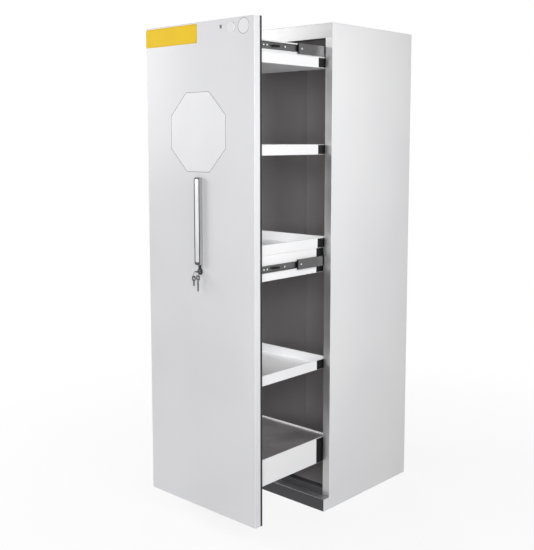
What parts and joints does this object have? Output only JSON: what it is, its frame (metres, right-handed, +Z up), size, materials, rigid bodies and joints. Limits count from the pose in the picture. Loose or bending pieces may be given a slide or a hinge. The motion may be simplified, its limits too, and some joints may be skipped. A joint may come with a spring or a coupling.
{
  "type": "pull-out reagent storage cabinet",
  "caption": "Tall fire-resistant cabinet whose single full-height front pulls out on telescopic slides with five storage trays; lever handle, key lock and roof air spigots.",
  "frame": {"origin": "on the floor, in the middle of the carcass's footprint (plinth toe and drawer not counted)", "axes": "+Z up; +X to the right as seen from the front; +Y to the back. The drawer pulls out along -Y and stands open at rest."},
  "size_m": [0.6, 1.0492, 2.03],
  "materials": {
    "white_enamel": "white powder-coated sheet steel, fine texture",
    "front_enamel": "light grey-white powder-coated sheet steel",
    "trim_steel": "brushed stainless sheet",
    "plinth_enamel": "anthracite powder-coated sheet steel",
    "lining_board": "dark grey melamine-faced board, matt",
    "insulation_board": "pale mineral fire board",
    "plug_board": "black-edged fire board",
    "fire_strip": "swelling graphite strip",
    "seal_rubber": "soft rubber seal",
    "slide_steel": "bright zinc-plated rolled steel",
    "zinc_steel": "zinc-plated steel",
    "cover_steel": "satin stainless sheet",
    "handle_plastic": "black moulded nylon",
    "lever_metal": "satin anodised aluminium",
    "lock_black": "black lock rosette",
    "key_metal": "nickel-plated brass",
    "cap_plastic": "white moulded cap"
  },
  "bodies": {
    "carcass": {"base_plate": "zinc_steel", "base_rails": "zinc_steel", "levelling_feet": "zinc_steel", "plinth_fascia": "plinth_enamel", "plinth_ledge": "trim_steel", "side_sheet_left": "white_enamel", "side_sheet_right": "white_enamel", "rear_sheet": "white_enamel", "top_sheet": "white_enamel", "wall_insulation": "insulation_board", "roof_insulation": "insulation_board", "floor_insulation": "insulation_board", "lining_sides": "lining_board", "lining_rear": "lining_board", "lining_ceiling": "lining_board", "lining_floor": "lining_board", "jamb_trim_left": "trim_steel", "jamb_trim_right": "trim_steel", "top_rail_trim": "trim_steel", "sill_trim": "trim_steel", "fire_strips": "fire_strip", "exhaust_spigot": "zinc_steel", "intake_spigot": "zinc_steel", "slide_fixed_members": "slide_steel", "slide_screws": "zinc_steel"},
    "carriage": {"front_shell": "front_enamel", "front_core": "insulation_board", "front_back_plate": "front_enamel", "front_plug": "plug_board", "front_seal": "seal_rubber", "front_posts": "trim_steel", "rear_posts": "white_enamel", "tray_1": "white_enamel", "tray_2": "white_enamel", "tray_3": "white_enamel", "tray_4": "white_enamel", "sump_tray": "white_enamel", "sump_cover": "cover_steel", "middle_beams": "white_enamel", "top_beams": "white_enamel", "slide_inner_members": "slide_steel", "tray_rivets": "zinc_steel", "handle_body": "handle_plastic", "lever_pin": "zinc_steel", "lock_body": "lock_black", "round_cap": "cap_plastic", "slot_insert": "handle_plastic"},
    "middle_stages": {"middle_slide_stages": "slide_steel"},
    "top_stages": {"top_slide_stages": "slide_steel"},
    "outer_cages": {"ball_cages_outer": "zinc_steel"},
    "inner_cages": {"ball_cages_inner": "zinc_steel"},
    "lever": {"handle_lever": "lever_metal"},
    "lock": {"lock_barrel": "key_metal", "lock_cam": "zinc_steel", "lock_key": "key_metal"},
    "keys": {"key_ring": "key_metal", "spare_key_inner": "key_metal", "spare_key_outer": "key_metal"},
    "exhaust_flap": {"exhaust_damper": "zinc_steel"},
    "intake_flap": {"intake_damper": "zinc_steel"}
  },
  "joints": [
    {"name": "drawer_slide", "type": "slide", "parent": "carcass", "child": "carriage", "axis": [0, -1, 0], "range_m": [-0.41, 0.09]},
    {"name": "middle_stage_slide", "type": "slide", "parent": "carcass", "child": "middle_stages", "axis": [0, -1, 0], "range_m": [-0.205, 0.045]},
    {"name": "top_stage_slide", "type": "slide", "parent": "carcass", "child": "top_stages", "axis": [0, -1, 0], "range_m": [-0.205, 0.045]},
    {"name": "outer_cage_slide", "type": "slide", "parent": "carcass", "child": "outer_cages", "axis": [0, -1, 0], "range_m": [-0.1025, 0.0225]},
    {"name": "inner_cage_slide", "type": "slide", "parent": "carcass", "child": "inner_cages", "axis": [0, -1, 0], "range_m": [-0.3075, 0.0675]},
    {"name": "lever_hinge", "type": "hinge", "parent": "carriage", "child": "lever", "pos_m": [0.0075, -0.743, 1.383], "axis": [-1, 0, 0], "range_deg": [0, 30]},
    {"name": "lock_turn", "type": "hinge", "parent": "carriage", "child": "lock", "pos_m": [0.0075, -0.733, 1.029], "axis": [0, 1, 0], "range_deg": [0, 90]},
    {"name": "ring_swing", "type": "hinge", "parent": "lock", "child": "keys", "pos_m": [0.0075, -0.75425, 1.031], "axis": [1, 0, 0], "range_deg": [-12, 4]},
    {"name": "exhaust_flap_turn", "type": "hinge", "parent": "carcass", "child": "exhaust_flap", "pos_m": [-0.1, 0.2, 1.9835], "axis": [1, 0, 0], "range_deg": [0, 90]},
    {"name": "intake_flap_turn", "type": "hinge", "parent": "carcass", "child": "intake_flap", "pos_m": [0.1, 0.2, 1.9835], "axis": [1, 0, 0], "range_deg": [0, 90]}
  ],
  "couplings": [
    {"joint": "middle_stage_slide", "follows": "drawer_slide", "ratio": 0.5},
    {"joint": "top_stage_slide", "follows": "drawer_slide", "ratio": 0.5},
    {"joint": "outer_cage_slide", "follows": "drawer_slide", "ratio": 0.25},
    {"joint": "inner_cage_slide", "follows": "drawer_slide", "ratio": 0.75}
  ]
}
